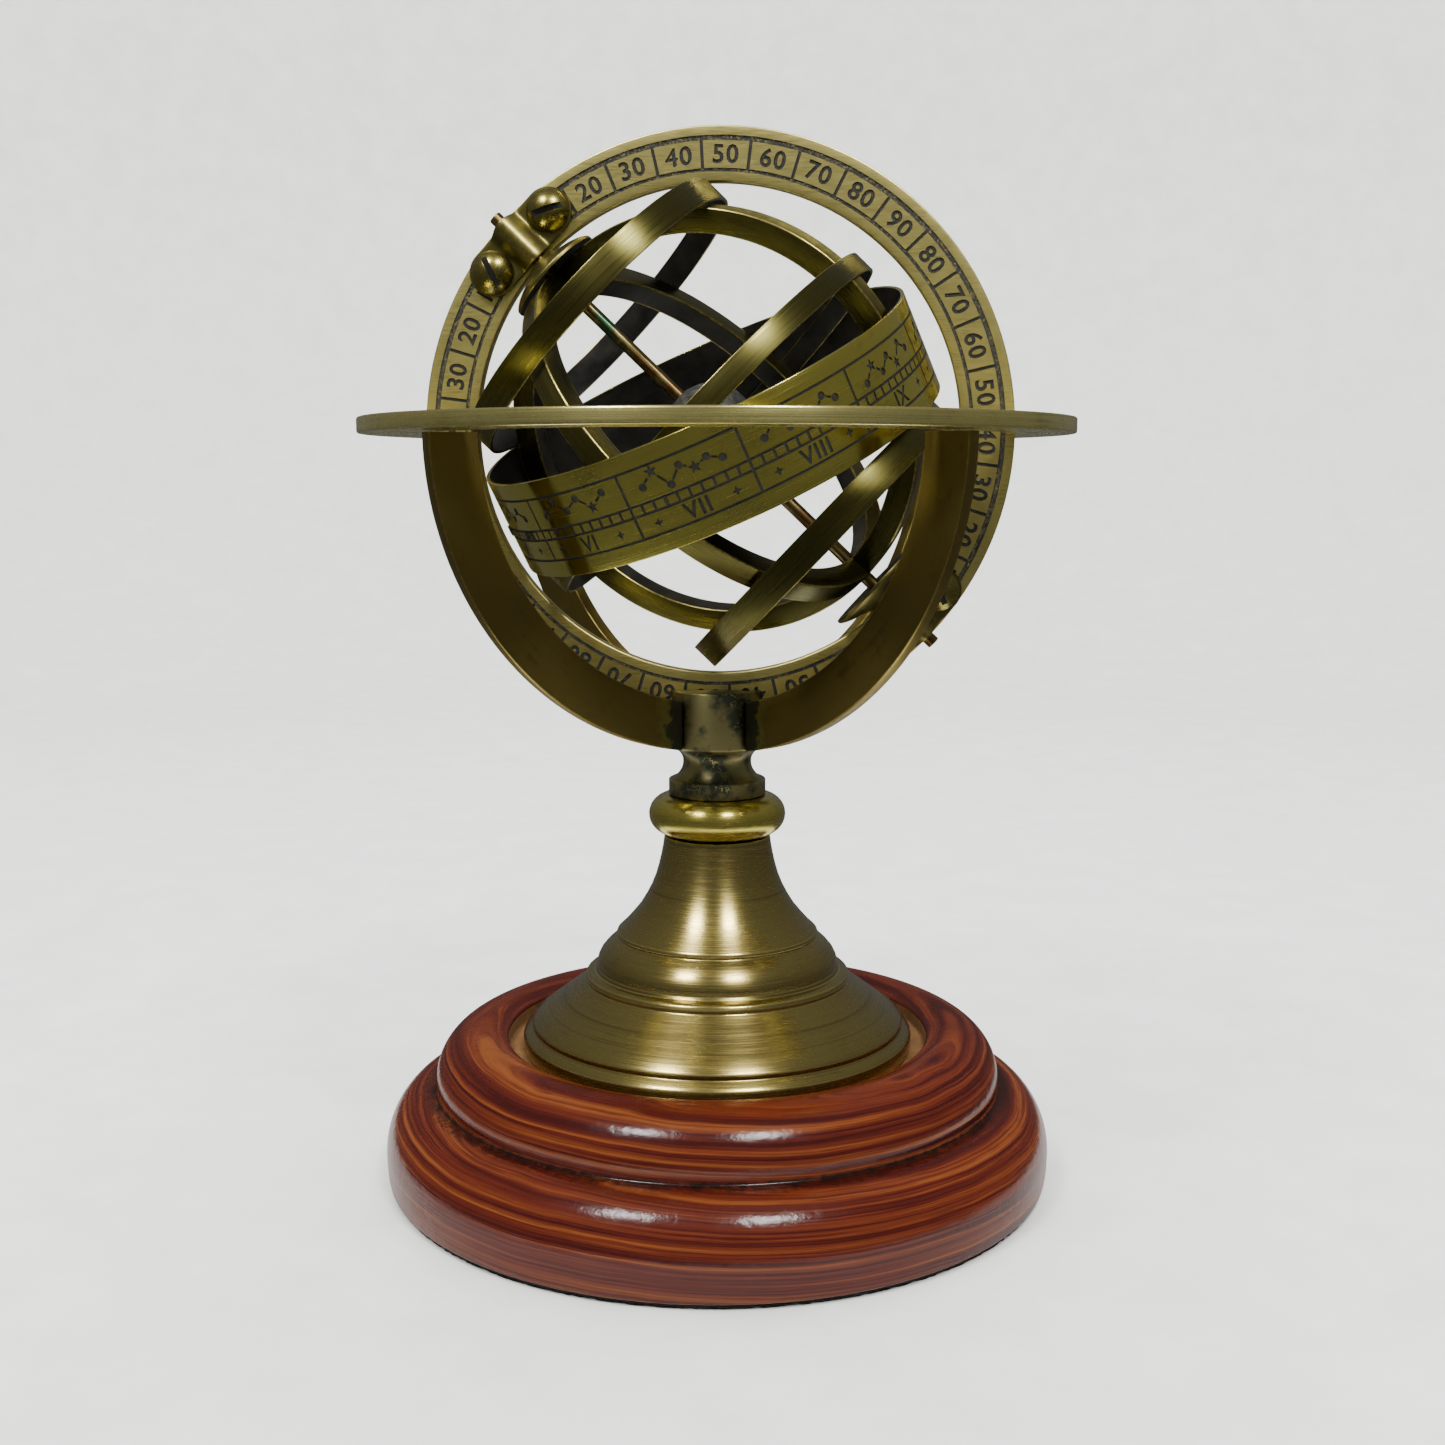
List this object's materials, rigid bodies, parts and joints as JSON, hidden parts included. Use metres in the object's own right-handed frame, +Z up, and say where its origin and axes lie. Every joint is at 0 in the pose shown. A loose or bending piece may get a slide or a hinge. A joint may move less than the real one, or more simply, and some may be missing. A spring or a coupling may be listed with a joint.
{
  "type": "armillary sphere",
  "caption": "Desk armillary sphere: brass cage turning on a tilted polar axle inside a meridian ring, in a four-armed cradle with horizon ring, on a turned stem and wooden base.",
  "frame": {"origin": "middle of the felt underside, on the surface it stands on", "axes": "+Z up the column; the meridian ring stands in the XZ plane with the celestial pole at -X +Z; the engraved front faces -Y"},
  "size_m": [0.1338, 0.1338, 0.2],
  "materials": {
    "base_wood": "red-brown striped grain under gloss varnish",
    "base_felt": "black felt",
    "column_brass": "antiqued, brushed round the axis",
    "ring_brass": "antiqued, brushed along the ring, blackened engraving",
    "cradle_brass": "antiqued satin",
    "aged_brass": "dark patina with worn edges",
    "cage_brass": "antiqued outside, nearly black inside",
    "zodiac_brass": "polished, blackened engraving",
    "earth_metal": "dark, coarsely textured",
    "fastener_steel": "plain zinc plated"
  },
  "bodies": {
    "stand": {"wood_base": "base_wood", "felt_pad": "base_felt", "brass_foot": "column_brass", "stem_knob": "column_brass", "saddle_post": "aged_brass", "tie_rod": "fastener_steel", "base_washer": "fastener_steel", "base_nut": "fastener_steel", "horizon_ring": "ring_brass", "cradle_arm_front_right": "cradle_brass", "cradle_arm_front_left": "cradle_brass", "cradle_arm_back_left": "cradle_brass", "cradle_arm_back_right": "cradle_brass"},
    "meridian": {"meridian_ring": "ring_brass", "north_strap": "aged_brass", "south_strap": "aged_brass", "north_screw_a": "aged_brass", "north_screw_b": "aged_brass", "south_screw_a": "aged_brass", "south_screw_b": "aged_brass"},
    "sphere": {"polar_axle": "aged_brass", "earth_ball": "earth_metal", "north_cap": "aged_brass", "south_cap": "aged_brass", "solstitial_colure": "cage_brass", "equinoctial_colure_front": "cage_brass", "equinoctial_colure_back": "cage_brass", "equator_ring": "cage_brass", "tropic_of_cancer_ring": "cage_brass", "tropic_of_capricorn_ring": "cage_brass", "zodiac_band": "zodiac_brass"}
  },
  "joints": [
    {"name": "meridian_tilt", "type": "hinge", "parent": "stand", "child": "meridian", "pos_m": [0, 0, 0.14425], "axis": [0, 1, 0], "range_deg": [-28, 22]},
    {"name": "sphere_spin", "type": "hinge", "parent": "meridian", "child": "sphere", "pos_m": [0, -0.00305, 0.14425], "axis": [-0.723, 0, 0.6909], "continuous": true}
  ]
}
